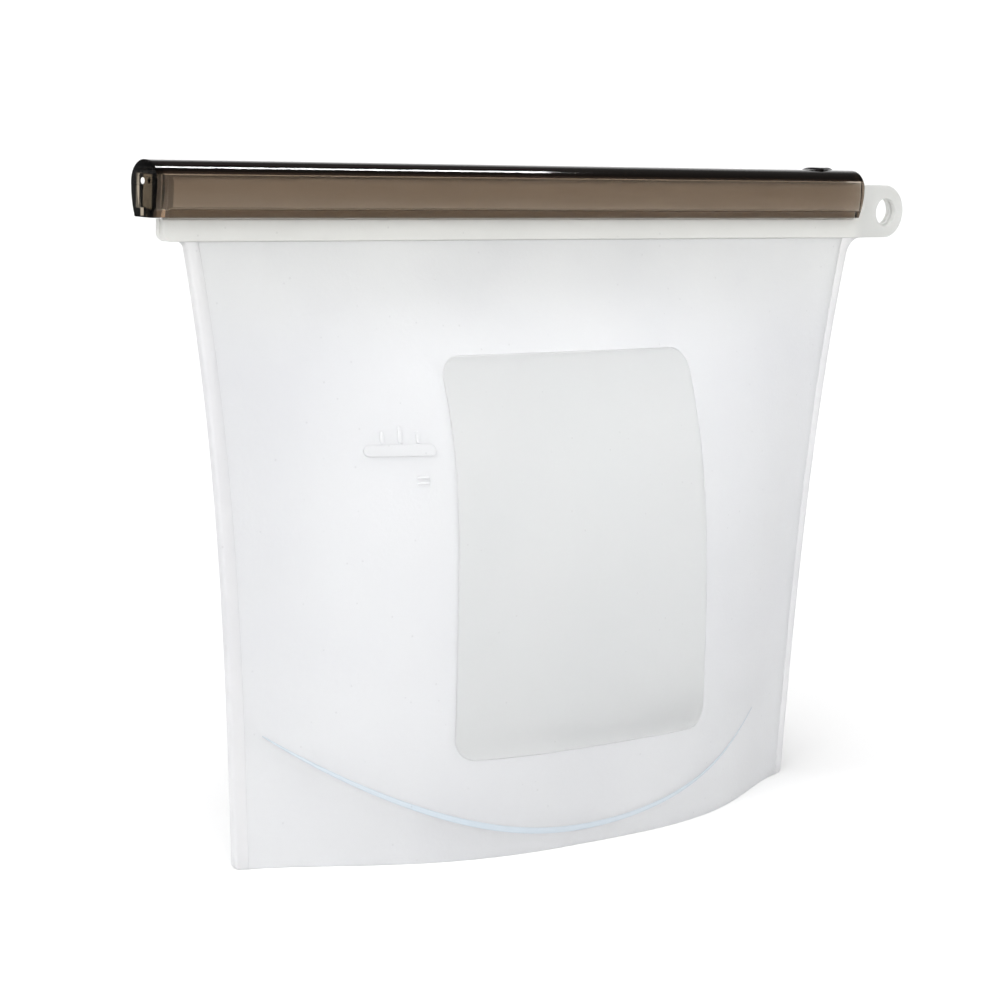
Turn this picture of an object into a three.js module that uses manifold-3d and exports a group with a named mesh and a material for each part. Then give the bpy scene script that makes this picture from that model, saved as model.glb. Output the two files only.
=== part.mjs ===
// Reusable silicone food bag: a stand-up pouch whose mouth is closed by a slide-on rail.
// Millimetres, +Z up, +X along the rail towards the hang tab, -Y towards the front of the bag.
// The origin is the middle of the footprint, on the surface that the bag stands on.
import * as THREE from "three";
import { mergeVertices } from "three/addons/utils/BufferGeometryUtils.js";
import Module from "manifold-3d";

const wasm = await Module();
wasm.setup();

// ---------------------------------------------------------------- driving dimensions (mm)
const GAP = 0.3; // left between neighbouring solids
const HALF_GAP = GAP / 2; // each side of the plane in which front and back layers meet
const OVERALL_LENGTH = 261.3; // closed end of the rail to the tip of the hang tab
const FRONT = -1; // sign of Y on the front layers
const BACK = 1; // sign of Y on the back layers

// Pouch: two swollen walls, pinched flat together along both side seams
const POUCH_X = -5.15; // middle of the pouch
const NECK_Z = 158.2; // where the walls meet the thicker mouth band
const TOP_HALF_WIDTH = 114.4;
const BASE_HALF_WIDTH = 96.6;
const WALL = 1.2;
const BASE_HALF_DEPTH = 29; // outside of the wall at the bottom rim
const SWELL_UP = 2.5; // how long the swell stays full on its way up to the neck
const SWELL_ACROSS = 1.5; // the same, from the middle out to a side seam
const SWELL_END = 1.5; // how gently the swell dies out
const SEAM_WIDTH = 3.4;
const SEAM_THICKNESS = 2.7;
const NOTCH_RADIUS = 1.6; // fillet under the left end of the mouth band
const TAB_FILLET_RADIUS = 4.6; // fillet under the hang tab

// Clear window in the front wall
const WINDOW_LEFT_X = -50.6;
const WINDOW_RIGHT_X = 34.8;
const WINDOW_BOTTOM_Z = 26;
const WINDOW_TOP_Z = 129.6;
const WINDOW_RADIUS = 6;

// Base gusset: a floor bonded to both walls along a curve that climbs to the side seams
const GUSSET_WALL = 1.1;
const GUSSET_LOW_Z = 5.2; // top of the floor at its lowest point on each wall
const GUSSET_CLIMB = 33; // from there up to the side seams
const GUSSET_SKEW = 0.05; // moves the lowest point towards the left seam
const GUSSET_CREASE = 3; // how far the fold along the middle stands up

// Mouth: a bead inside the rail, a thin web through the rail's slot, a band below it
const BAND_LEFT_X = -126.3;
const BEAD_LEFT_X = -124.8;
const BAND_TOP_Z = 163.6;
const BAND_THICKNESS = 1.6;
const BAND_CORNER_RADIUS = 2.2;
const WEB_THICKNESS = 0.95;
const BEAD_THICKNESS = 2.95;
const BEAD_BOTTOM_Z = 166.6;
const BEAD_TOP_Z = 173.5;
const BEAD_RADIUS = 1.1;
const TAB_HOLE_RADIUS = 4.2;

// Rail: solid dome, straight channel, two inturned feet with a slot between them
const RAIL_LENGTH = 240;
const RAIL_TOP_Z = 177.7;
const RAIL_SHOULDER_Z = 172.4; // widest level
const RAIL_BOTTOM_Z = 164;
const RAIL_WIDTH = 11.8;
const RAIL_FOOT_WIDTH = 8.6;
const RAIL_FOOT_RADIUS = 0.6;
const CHANNEL_WIDTH = 7;
const CHANNEL_TOP_Z = 174.3;
const CHANNEL_FLOOR_Z = 166.2;
const SLOT_WIDTH = 2.8;
const END_WALL = 1;

// Grip mark: a raised two-armed chevron near the open end of the rail
const GRIP_X = 96;
const GRIP_HALF_LENGTH = 6.2;
const GRIP_REACH = 2.3; // how far its point lies in front of its ends
const GRIP_ARM = 1.3;
const GRIP_BACK_Y = 0.5;
const GRIP_TOP_Z = 178.3;
const GRIP_ROOT_Z = 175;

// Segment counts
const CURVE_STEPS = 8;
const WALL_STEPS_ACROSS = 26;
const WALL_STEPS_UP = 16;
const GUSSET_STEPS_ACROSS = 26;
const GUSSET_STEPS_DEEP = 8;
const SEAM_STEPS_UP = 20;

const RAIL_LEFT_X = -OVERALL_LENGTH / 2;
const RAIL_RIGHT_X = RAIL_LEFT_X + RAIL_LENGTH;
const TAB_RADIUS = (BEAD_TOP_Z - NECK_Z) / 2;
const TAB_X = OVERALL_LENGTH / 2 - TAB_RADIUS;
const TAB_Z = NECK_Z + TAB_RADIUS;
const TAB_LEFT_X = RAIL_RIGHT_X + GAP;
const WALL_TOP_Z = NECK_Z - GAP;

// ---------------------------------------------------------------- materials
const silicone = (name, opacity, roughness) =>
  new THREE.MeshStandardMaterial({
    name,
    color: 0xdfe1e6,
    roughness,
    metalness: 0,
    opacity,
    transparent: true,
  });
const smokePlastic = (name) =>
  new THREE.MeshStandardMaterial({
    name,
    color: 0x4a4038,
    roughness: 0.12,
    metalness: 0,
    opacity: 0.75,
    transparent: true,
  });

// ---------------------------------------------------------------- solids
// A closed geometry as a manifold-3d solid.
function solidOf(geometry) {
  const bare = geometry.clone();
  for (const name of Object.keys(bare.attributes)) {
    if (name !== "position") bare.deleteAttribute(name);
  }
  const merged = mergeVertices(bare, 1e-4);
  return new wasm.Manifold(
    new wasm.Mesh({
      numProp: 3,
      vertProperties: merged.attributes.position.array,
      triVerts: new Uint32Array(merged.index.array),
    }),
  );
}

function geometryOf(solid) {
  const { vertProperties, triVerts } = solid.getMesh();
  const geometry = new THREE.BufferGeometry();
  geometry.setAttribute("position", new THREE.BufferAttribute(vertProperties, 3));
  geometry.setIndex(new THREE.BufferAttribute(triVerts, 1));
  geometry.computeVertexNormals();
  return geometry;
}

const union = (...geometries) =>
  geometryOf(geometries.map(solidOf).reduce((whole, solid) => whole.add(solid)));
const cut = (geometry, tool) => geometryOf(solidOf(geometry).subtract(solidOf(tool)));
const overlap = (a, b) => geometryOf(solidOf(a).intersect(solidOf(b)));

// A shape drawn in (y, z) and run along X from x0 to x1.
function runAlongX(shape, x0, x1) {
  const geometry = new THREE.ExtrudeGeometry(shape, {
    depth: x1 - x0,
    bevelEnabled: false,
    curveSegments: CURVE_STEPS,
  });
  const turn = new THREE.Matrix4().makeBasis(
    new THREE.Vector3(0, 1, 0),
    new THREE.Vector3(0, 0, 1),
    new THREE.Vector3(1, 0, 0),
  );
  return geometry.applyMatrix4(turn).translate(x0, 0, 0);
}

// A shape drawn in (x, z) and run along Y from y0 to y1.
function runAlongY(shape, y0, y1) {
  const geometry = new THREE.ExtrudeGeometry(shape, {
    depth: y1 - y0,
    bevelEnabled: false,
    curveSegments: CURVE_STEPS,
  });
  return geometry.rotateX(Math.PI / 2).translate(0, y1, 0);
}

// A unit box whose points are moved to place(across, deep, up), each from 0 to 1.
function bentSheet(stepsAcross, stepsDeep, stepsUp, place) {
  const geometry = new THREE.BoxGeometry(1, 1, 1, stepsAcross, stepsDeep, stepsUp);
  const points = geometry.attributes.position;
  for (let i = 0; i < points.count; i++) {
    const across = points.getX(i) + 0.5;
    const deep = points.getY(i) + 0.5;
    const up = points.getZ(i) + 0.5;
    points.setXYZ(i, ...place(across, deep, up));
  }
  return geometry;
}

function roundedRectangle(x0, z0, x1, z1, radius) {
  const shape = new THREE.Shape();
  shape.moveTo(x0 + radius, z0);
  shape.lineTo(x1 - radius, z0);
  shape.absarc(x1 - radius, z0 + radius, radius, -Math.PI / 2, 0);
  shape.lineTo(x1, z1 - radius);
  shape.absarc(x1 - radius, z1 - radius, radius, 0, Math.PI / 2);
  shape.lineTo(x0 + radius, z1);
  shape.absarc(x0 + radius, z1 - radius, radius, Math.PI / 2, Math.PI);
  shape.lineTo(x0, z0 + radius);
  shape.absarc(x0 + radius, z0 + radius, radius, Math.PI, 1.5 * Math.PI);
  return shape;
}

// ---------------------------------------------------------------- shape of the pouch
// Full (1) at 0, it dies out smoothly towards 1.
const swell = (t, power) => Math.cos((Math.PI / 2) * Math.min(1, t) ** power) ** SWELL_END;

// Distance from the middle of the pouch to the outer edge of a side seam.
function halfWidth(z) {
  const s = z / NECK_Z;
  return BASE_HALF_WIDTH + ((TOP_HALF_WIDTH - BASE_HALF_WIDTH) * (s + s ** 3)) / 2;
}

// Distance from the middle plane to the inner face of a wall.
function innerDepth(x, z) {
  const across = swell(Math.abs(x - POUCH_X) / halfWidth(z), SWELL_ACROSS);
  const fullest = BASE_HALF_DEPTH - WALL - HALF_GAP;
  return HALF_GAP + fullest * swell(z / NECK_Z, SWELL_UP) * across;
}

// ---------------------------------------------------------------- pouch pieces
function wall(side) {
  return bentSheet(WALL_STEPS_ACROSS, 1, WALL_STEPS_UP, (across, deep, up) => {
    const z = up * WALL_TOP_Z;
    const reach = halfWidth(z) - SEAM_WIDTH - GAP;
    const x = POUCH_X + (2 * across - 1) * reach;
    const fromInside = side === BACK ? deep : 1 - deep;
    return [x, side * (innerDepth(x, z) + fromInside * WALL), z];
  });
}

// A block through the front wall, with the window's outline grown by a margin.
function windowBlock(margin) {
  const outline = roundedRectangle(
    WINDOW_LEFT_X - margin,
    WINDOW_BOTTOM_Z - margin,
    WINDOW_RIGHT_X + margin,
    WINDOW_TOP_Z + margin,
    WINDOW_RADIUS + margin,
  );
  return runAlongY(outline, -2 * BASE_HALF_DEPTH, 0);
}

function baseGusset() {
  return bentSheet(GUSSET_STEPS_ACROSS, GUSSET_STEPS_DEEP, 1, (across, deep, up) => {
    const fromMiddle = 2 * across - 1;
    const fromCrease = 2 * deep - 1;
    const skewed = fromMiddle + GUSSET_SKEW * (1 - fromMiddle ** 2);
    const climb = GUSSET_CLIMB * skewed ** 2;
    const crease = GUSSET_CREASE * (1 - fromCrease ** 2) * (1 - fromMiddle ** 2);
    const z = GUSSET_LOW_Z + climb + crease - (1 - up) * GUSSET_WALL;
    const reach = halfWidth(z) - SEAM_WIDTH - 2 * GAP;
    const x = POUCH_X + fromMiddle * reach;
    return [x, fromCrease * Math.max(HALF_GAP, innerDepth(x, z) - GAP), z];
  });
}

// One bonded edge of the pouch; it flares in a fillet to meet the mouth band above it.
function sideSeam(direction, filletRadius) {
  return bentSheet(1, 1, SEAM_STEPS_UP, (across, deep, up) => {
    const z = (1 - (1 - up) ** 2) * WALL_TOP_Z;
    const intoFillet = Math.max(0, z - (NECK_Z - filletRadius));
    const flare = filletRadius - Math.sqrt(filletRadius ** 2 - intoFillet ** 2);
    const outer = halfWidth(z) + flare;
    const inner = halfWidth(z) - SEAM_WIDTH;
    const fromInner = direction > 0 ? across : 1 - across;
    const x = POUCH_X + direction * (inner + fromInner * (outer - inner));
    return [x, (deep - 0.5) * SEAM_THICKNESS, z];
  });
}

// ---------------------------------------------------------------- mouth
// Extrudes an (x, z) outline into one layer of the mouth, outwards from the middle plane.
function layer(outline, side, thickness) {
  const inner = side * HALF_GAP;
  const outer = side * (HALF_GAP + thickness);
  return runAlongY(outline, Math.min(inner, outer), Math.max(inner, outer));
}

// A rectangle in (x, z) with its lower left corner rounded.
function stripOutline(leftX, rightX, topZ) {
  const radius = BAND_CORNER_RADIUS;
  const shape = new THREE.Shape();
  shape.moveTo(leftX + radius, NECK_Z);
  shape.lineTo(rightX, NECK_Z);
  shape.lineTo(rightX, topZ);
  shape.lineTo(leftX, topZ);
  shape.lineTo(leftX, NECK_Z + radius);
  shape.absarc(leftX + radius, NECK_Z + radius, radius, Math.PI, 1.5 * Math.PI);
  return shape;
}

function tabOutline() {
  const shape = new THREE.Shape();
  shape.moveTo(TAB_LEFT_X, NECK_Z);
  shape.lineTo(TAB_X, NECK_Z);
  shape.absarc(TAB_X, TAB_Z, TAB_RADIUS, -Math.PI / 2, Math.PI / 2);
  shape.lineTo(TAB_LEFT_X, BEAD_TOP_Z);
  const hole = new THREE.Path();
  hole.absarc(TAB_X, TAB_Z, TAB_HOLE_RADIUS, 0, 2 * Math.PI, true);
  shape.holes.push(hole);
  return shape;
}

function beadSection(side) {
  const inner = side * HALF_GAP;
  const outer = side * (HALF_GAP + BEAD_THICKNESS);
  const towardsMiddle = -side * BEAD_RADIUS;
  const shape = new THREE.Shape();
  shape.moveTo(inner, BEAD_BOTTOM_Z);
  shape.lineTo(outer, BEAD_BOTTOM_Z);
  shape.lineTo(outer, BEAD_TOP_Z - BEAD_RADIUS);
  shape.quadraticCurveTo(outer, BEAD_TOP_Z, outer + towardsMiddle, BEAD_TOP_Z);
  shape.lineTo(inner, BEAD_TOP_Z);
  return shape;
}

function lip(side) {
  const joinX = TAB_LEFT_X + WALL; // the strips run a little way into the tab
  return union(
    layer(stripOutline(BEAD_LEFT_X, joinX, BEAD_TOP_Z), side, WEB_THICKNESS),
    layer(stripOutline(BAND_LEFT_X, joinX, BAND_TOP_Z), side, BAND_THICKNESS),
    layer(tabOutline(), side, BAND_THICKNESS),
    runAlongX(beadSection(side), BEAD_LEFT_X, RAIL_RIGHT_X - GAP),
  );
}

// ---------------------------------------------------------------- rail
// The rail's outside in (y, z), grown outwards by a margin.
function railOutline(margin) {
  const shoulder = RAIL_WIDTH / 2 + margin;
  const foot = RAIL_FOOT_WIDTH / 2 + margin;
  const bottom = RAIL_BOTTOM_Z - margin;
  const domeHeight = RAIL_TOP_Z - RAIL_SHOULDER_Z + margin;
  const shape = new THREE.Shape();
  shape.moveTo(-foot + RAIL_FOOT_RADIUS, bottom);
  shape.lineTo(foot - RAIL_FOOT_RADIUS, bottom);
  shape.quadraticCurveTo(foot, bottom, foot, bottom + RAIL_FOOT_RADIUS);
  shape.quadraticCurveTo(shoulder, (bottom + RAIL_SHOULDER_Z) / 2, shoulder, RAIL_SHOULDER_Z);
  shape.absellipse(0, RAIL_SHOULDER_Z, shoulder, domeHeight, 0, Math.PI);
  shape.quadraticCurveTo(-shoulder, (bottom + RAIL_SHOULDER_Z) / 2, -foot, bottom + RAIL_FOOT_RADIUS);
  shape.quadraticCurveTo(-foot, bottom, -foot + RAIL_FOOT_RADIUS, bottom);
  return shape;
}

// The channel and the slot below it, in (y, z).
function channelOutline() {
  const half = CHANNEL_WIDTH / 2;
  const slot = SLOT_WIDTH / 2;
  const below = RAIL_BOTTOM_Z - WALL;
  const shape = new THREE.Shape();
  shape.moveTo(-slot, below);
  shape.lineTo(slot, below);
  shape.lineTo(slot, CHANNEL_FLOOR_Z);
  shape.lineTo(half, CHANNEL_FLOOR_Z);
  shape.lineTo(half, CHANNEL_TOP_Z);
  shape.lineTo(-half, CHANNEL_TOP_Z);
  shape.lineTo(-half, CHANNEL_FLOOR_Z);
  shape.lineTo(-slot, CHANNEL_FLOOR_Z);
  return shape;
}

function railChannel() {
  const leftX = RAIL_LEFT_X + END_WALL + GAP;
  return cut(
    runAlongX(railOutline(0), leftX, RAIL_RIGHT_X),
    runAlongX(channelOutline(), leftX - WALL, RAIL_RIGHT_X + WALL),
  );
}

const railEndWall = () => runAlongX(railOutline(0), RAIL_LEFT_X, RAIL_LEFT_X + END_WALL);

// Two curved arms that meet in a point towards the front, standing on the dome.
function railGrip() {
  const half = GRIP_HALF_LENGTH;
  const point = GRIP_BACK_Y - GRIP_REACH;
  const chevron = new THREE.Shape();
  chevron.moveTo(-half, GRIP_BACK_Y);
  chevron.quadraticCurveTo(-half / 2, GRIP_BACK_Y - GRIP_ARM, 0, point);
  chevron.quadraticCurveTo(half / 2, GRIP_BACK_Y - GRIP_ARM, half, GRIP_BACK_Y);
  chevron.quadraticCurveTo(half / 2, GRIP_BACK_Y + GRIP_ARM / 2, 0, point + GRIP_ARM);
  chevron.quadraticCurveTo(-half / 2, GRIP_BACK_Y + GRIP_ARM / 2, -half, GRIP_BACK_Y);
  const arms = new THREE.ExtrudeGeometry(chevron, {
    depth: GRIP_TOP_Z - GRIP_ROOT_Z,
    bevelEnabled: false,
    curveSegments: CURVE_STEPS,
  }).translate(GRIP_X, 0, GRIP_ROOT_Z);
  return cut(arms, runAlongX(railOutline(GAP), RAIL_LEFT_X, RAIL_RIGHT_X));
}

// ---------------------------------------------------------------- assembly
function node(name, geometry, material) {
  const mesh = new THREE.Mesh(geometry, material);
  mesh.name = name;
  return mesh;
}

const bag = new THREE.Group();
bag.add(
  node("front_panel", cut(wall(FRONT), windowBlock(HALF_GAP)), silicone("frosted front", 0.7, 0.5)),
  node("front_window", overlap(wall(FRONT), windowBlock(-HALF_GAP)), silicone("clear", 0.35, 0.2)),
  node("back_panel", wall(BACK), silicone("frosted back", 0.7, 0.5)),
  node("base_gusset", baseGusset(), silicone("frosted floor", 0.7, 0.5)),
  node("side_seam_left", sideSeam(-1, NOTCH_RADIUS), silicone("left seam", 0.85, 0.45)),
  node("side_seam_right", sideSeam(1, TAB_FILLET_RADIUS), silicone("right seam", 0.85, 0.45)),
  node("front_lip", lip(FRONT), silicone("front lip", 0.85, 0.45)),
  node("back_lip", lip(BACK), silicone("back lip", 0.85, 0.45)),
);

const rail = new THREE.Group();
rail.add(
  node("rail_channel", railChannel(), smokePlastic("smoke channel")),
  node("rail_end_wall", railEndWall(), smokePlastic("smoke end wall")),
  node("rail_grip", railGrip(), smokePlastic("smoke grip")),
);

const assembly = new THREE.Group();
assembly.add(bag, rail);

export default assembly;
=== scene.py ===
"""Reusable silicone food bag: a swollen stand-up pouch closed by a slide-on rail.

Metres, +Z up, +X along the rail towards the hang tab, -Y towards the front of the bag.
"""
import math

import bmesh
import bpy
import numpy as np
from mathutils import Matrix, Vector
from mathutils.geometry import delaunay_2d_cdt


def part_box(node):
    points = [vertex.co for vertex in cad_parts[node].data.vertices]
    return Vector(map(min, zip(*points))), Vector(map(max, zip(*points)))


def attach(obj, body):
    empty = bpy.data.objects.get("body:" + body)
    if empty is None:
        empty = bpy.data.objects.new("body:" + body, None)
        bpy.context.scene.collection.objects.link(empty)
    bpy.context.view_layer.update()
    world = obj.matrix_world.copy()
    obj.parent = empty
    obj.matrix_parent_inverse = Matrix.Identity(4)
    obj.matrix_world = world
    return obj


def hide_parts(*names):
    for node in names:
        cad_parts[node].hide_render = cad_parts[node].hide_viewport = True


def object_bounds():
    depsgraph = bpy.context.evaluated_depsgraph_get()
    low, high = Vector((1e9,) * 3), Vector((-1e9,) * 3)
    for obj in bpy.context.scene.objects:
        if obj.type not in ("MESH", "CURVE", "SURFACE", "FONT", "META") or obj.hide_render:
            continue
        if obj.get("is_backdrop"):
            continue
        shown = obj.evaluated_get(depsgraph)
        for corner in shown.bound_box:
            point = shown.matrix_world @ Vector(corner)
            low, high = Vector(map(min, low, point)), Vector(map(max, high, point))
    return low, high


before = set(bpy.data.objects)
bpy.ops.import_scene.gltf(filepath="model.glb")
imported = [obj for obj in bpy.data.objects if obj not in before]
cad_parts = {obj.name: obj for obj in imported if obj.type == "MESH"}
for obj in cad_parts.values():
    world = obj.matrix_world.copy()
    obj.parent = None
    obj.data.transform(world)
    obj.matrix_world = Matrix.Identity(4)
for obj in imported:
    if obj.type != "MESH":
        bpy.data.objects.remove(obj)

CAD_LOW, CAD_HIGH = (Vector(corner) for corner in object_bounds())
MM = 0.001
FRONT, BACK = -1, 1  # sign of Y on each half of the bag

# ------------------------------------------------------------------ levels taken from the CAD
LIP_LOW, LIP_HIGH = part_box("front_lip")
WALL_LOW, WALL_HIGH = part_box("back_panel")
WINDOW_LOW, WINDOW_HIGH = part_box("front_window")
RAIL_LOW, RAIL_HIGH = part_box("rail_channel")
END_LOW, END_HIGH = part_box("rail_end_wall")
GRIP_LOW, GRIP_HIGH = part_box("rail_grip")

NECK_Z = LIP_LOW[2]
BEAD_TOP_Z = LIP_HIGH[2]
BAND_LEFT_X = LIP_LOW[0]
TAB_RIGHT_X = LIP_HIGH[0]
POUCH_X = (WALL_LOW[0] + WALL_HIGH[0]) / 2
BASE_HALF_DEPTH = WALL_HIGH[1]
SEAM_HALF_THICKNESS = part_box("side_seam_right")[1][1]
RAIL_RIGHT_X = RAIL_HIGH[0]
RAIL_TOP_Z = RAIL_HIGH[2]
RAIL_BOTTOM_Z = RAIL_LOW[2]
RAIL_HALF_WIDTH = RAIL_HIGH[1]
GRIP_X = (GRIP_LOW[0] + GRIP_HIGH[0]) / 2

# ------------------------------------------------------------------ driving dimensions
BOND = 0.05 * MM  # hairline left between bonded pieces
TOP_HALF_WIDTH = 114.4 * MM
BASE_HALF_WIDTH = 96.6 * MM
WALL = 1.2 * MM
SWELL_UP = 2.5
SWELL_ACROSS = 1.5
SWELL_END = 1.5
RIPPLE = 0.5 * MM  # soft unevenness of the moulded walls
WALL_RIM = 0.08 * MM  # rounding of the walls' edges
WALL_SPACING = 3 * MM
EDGE_SPACING = 1.6 * MM

SEAM_WIDTH = 3.4 * MM
SEAM_RIM = 0.9 * MM
SEAM_FOOT_RADIUS = 1.5 * MM
SEAM_STEPS = 60
NOTCH_RADIUS = 1.6 * MM
TAB_FILLET_RADIUS = 4.6 * MM

WINDOW_RADIUS = 6 * MM
WINDOW_STEP = 0.12 * MM  # how far the window stands proud of the frosted wall
WINDOW_RIM = 0.3 * MM

GUSSET_WALL = 1.1 * MM
GUSSET_LOW_Z = 5.2 * MM
GUSSET_CLIMB = 33 * MM
GUSSET_SKEW = 0.05
GUSSET_CREASE = 3 * MM
GUSSET_GAP = 0.1 * MM
BOND_LINE_WIDTH = 1.4 * MM
BOND_LINE_TIP = 0.12 * MM  # half its width at both ends
BOND_LINE_PROUD = 0.14 * MM
BOND_LINE_RIM = 0.06 * MM
HAIR = 0.02 * MM  # between a raised shape and the wall that it is moulded on
BOND_LINE_LEFT = -0.955  # shares of the wall's half width at which it dies out
BOND_LINE_RIGHT = 0.76
BOND_LINE_STEPS = 120

BAND_TOP_Z = 163.6 * MM
BAND_THICKNESS = 1.6 * MM
BAND_CORNER_RADIUS = 2.2 * MM
TAB_CORNER_RADIUS = 0.8 * MM
TAB_CLEARANCE = 0.3 * MM  # from the rail's open end to the tab
BAND_RIM = 0.35 * MM
BEAD_LEFT_X = -124.8 * MM
WEB_THICKNESS = 0.95 * MM
BEAD_THICKNESS = 2.95 * MM
BEAD_BOTTOM_Z = 166.6 * MM
BEAD_RADIUS = 1.1 * MM
BEAD_FOOT_RADIUS = 0.35 * MM
BEAD_INTO_TAB = 0.4 * MM
MIDDLE_GAP = 0.15 * MM  # from the middle plane to each layer of the mouth
TAB_HOLE_RADIUS = 4 * MM
TAB_HOLE_SHIFT = (0.25 * MM, -0.2 * MM)  # the two layers' holes are slightly out of line

RAIL_SHOULDER_Z = 172.4 * MM
RAIL_FOOT_WIDTH = 8.6 * MM
RAIL_FOOT_RADIUS = 0.6 * MM
CHANNEL_WIDTH = 7 * MM
CHANNEL_TOP_Z = 174.3 * MM
CHANNEL_FLOOR_Z = 166.2 * MM
CHANNEL_CORNER_RADIUS = 0.5 * MM
SLOT_WIDTH = 2.8 * MM
RAIL_EDGE = 0.18 * MM
FLAT_END = 0.999  # share of a face's normal along X from which it belongs to a flat end
GATE_MARK_RADIUS = 0.8 * MM
GATE_MARK_Y = 0.4 * MM
GATE_MARK_Z = 172.6 * MM
GATE_MARK_PROUD = 0.2 * MM
GATE_MARK_RIM = 0.45 * GATE_MARK_PROUD

GRIP_HALF_LENGTH = 6.2 * MM
GRIP_REACH = 2.3 * MM
GRIP_ARM = 1.3 * MM
GRIP_BACK_Y = 0.5 * MM
GRIP_HEIGHT = 0.7 * MM
GRIP_RIM = 0.15 * MM
GRIP_TIP = 0.1  # height at the arms' tips as a share of the middle's

# Raised fill mark on the front wall: three graduation strokes over a capsule bar, two ticks below
MARK_X = -65 * MM
MARK_BAR_Z = 106.6 * MM
MARK_BAR_LENGTH = 18.5 * MM
MARK_BAR_HEIGHT = 2.9 * MM
MARK_STROKE_Z = 110.6 * MM
MARK_STROKE_HEIGHT = 4.4 * MM
MARK_SHORT_STROKE = 0.7  # height of the outer strokes as a share of the middle one
MARK_STROKE_WIDTH = 1.0 * MM
MARK_STROKE_PITCH = 4.6 * MM
MARK_TICK_Z = 99.9 * MM
MARK_TICK_X = -59.5 * MM
MARK_TICK_LENGTH = 3.2 * MM
MARK_TICK_HEIGHT = 0.7 * MM
MARK_TICK_PITCH = 1.5 * MM
MARK_PROUD = 0.5 * MM
MARK_RIM = 0.24 * MM
MARK_TICK_RIM = 0.8 * MARK_RIM
MARK_ROUNDING = 0.49  # corner radius as a share of the smaller side

ARC_STEPS = 10
DOME_STEPS = 48
CREASE = math.radians(38)
MERGE_DISTANCE = 1e-7
CDT_TOLERANCE = 1e-9

# ------------------------------------------------------------------ numbers for the materials
SILICONE_IOR = 1.41
CLOUD_SCALE = 26
GRAIN_SCALE = 900
GRAIN_DEPTH = 0.2 * MM
DUST_SCALE = 210
TONE_STOPS = (0.35, 0.65)  # noise values at which a tone reaches dark and light
ROUGH_STOPS = (0.3, 0.7)
WEAR_STOPS = (0.4, 0.75)
DUST_EDGE = (0.035, 0.075)  # where a speck starts to fade and where it ends
DUST_SHADE = 0.78
DUST_STRENGTH = 0.55
ROUGHNESS_SPREAD = 0.06
# painted shade: silicone is darkened over this depth under the neck
NECK_PAINTED_SHADE_DEPTH = 34 * MM
NECK_PAINTED_SHADE = (0.98, 0.98, 0.965)
# painted shade on the hang tab
TAB_PAINTED_SHADE = (0.87, 0.875, 0.88)
TAB_PAINTED_SHADE_RUN = 5 * MM  # from the rail's open end to the tab's full painted shade
# painted light: the beads inside the rail are made lighter than the rest of the mouth
BEAD_PAINTED_LIGHT = (0.98, 0.975, 0.96)

SMOKE_IOR = 1.36
SMOKE_GLINT = (0.2, 0.2, 0.21)
SMOKE_GLINT_LEVEL = 0.3
SMOKE_DEPTH = (0.50, 0.39, 0.27)  # colour that a thick part of the rail turns to
SMOKE_DENSITY = 385
SMOKE_ROUGHNESS = (0.03, 0.09)
STREAK_STRETCH = (0.12, 1, 1)  # flow streaks are long in X
STREAK_SCALE = 420
STREAK_STOPS = (0.3, 0.7)
WEAR_SCALE = 1500
# painted shade: the solid dome is painted near black
DOME_PAINTED_SHADE = (0.025, 0.025, 0.028)
DOME_PAINTED_SHADE_LOW = -0.1 * MM  # the dome's painted shade starts and ends here, from the channel's top
DOME_PAINTED_SHADE_HIGH = 0.9 * MM
END_PAINTED_SHADE = 0.12  # painted shade on the rail at its closed end
END_PAINTED_SHADE_NEAR = 1 * MM  # from the end wall to where that painted shade starts to fade
END_PAINTED_SHADE_FAR = 1.3 * MM  # and to where it is gone
END_BLUR = 0.12 * MM
END_IOR = 1.06
END_FLOW_SCALE = 900
END_FLOW_SHADE = 0.85
END_ROUGHNESS = (0.04, 0.1)


# ------------------------------------------------------------------ outlines in a plane
def arc(cx, cy, radius, start, end, steps=ARC_STEPS):
    """Points on an arc, angles in degrees."""
    angles = np.radians(np.linspace(start, end, steps + 1))
    return [(cx + radius * math.cos(a), cy + radius * math.sin(a)) for a in angles]


def line(a, b, spacing=EDGE_SPACING):
    """Points from a up to, but not including, b."""
    steps = max(1, round(math.dist(a, b) / spacing))
    return [(a[0] + (b[0] - a[0]) * i / steps, a[1] + (b[1] - a[1]) * i / steps)
            for i in range(steps)]


def bezier(a, b, c, steps=ARC_STEPS):
    """Points on a quadratic curve from a to c, without c."""
    return [tuple((1 - t) ** 2 * p + 2 * t * (1 - t) * q + t * t * r for p, q, r in zip(a, b, c))
            for t in (i / steps for i in range(steps))]


def rounded_rectangle(x0, z0, x1, z1, radius, spacing=None):
    """Counter-clockwise outline; its straight sides are divided only if spacing is given."""
    corners = ((x1 - radius, z0 + radius, -90), (x1 - radius, z1 - radius, 0),
               (x0 + radius, z1 - radius, 90), (x0 + radius, z0 + radius, 180))
    points = []
    for i, (cx, cz, start) in enumerate(corners):
        points += arc(cx, cz, radius, start, start + 90)
        after = corners[(i + 1) % len(corners)]
        if spacing:
            ahead = arc(after[0], after[1], radius, after[2], after[2])[0]
            points += line(points[-1], ahead, spacing)[1:]
    return points


def grown(points, amount):
    """A closed outline moved outwards by amount; counter-clockwise outlines grow."""
    p = np.array(points)
    along = np.roll(p, -1, 0) - np.roll(p, 1, 0)
    along /= np.linalg.norm(along, axis=1)[:, None]
    return p + amount * np.stack([along[:, 1], -along[:, 0]], 1)


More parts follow.
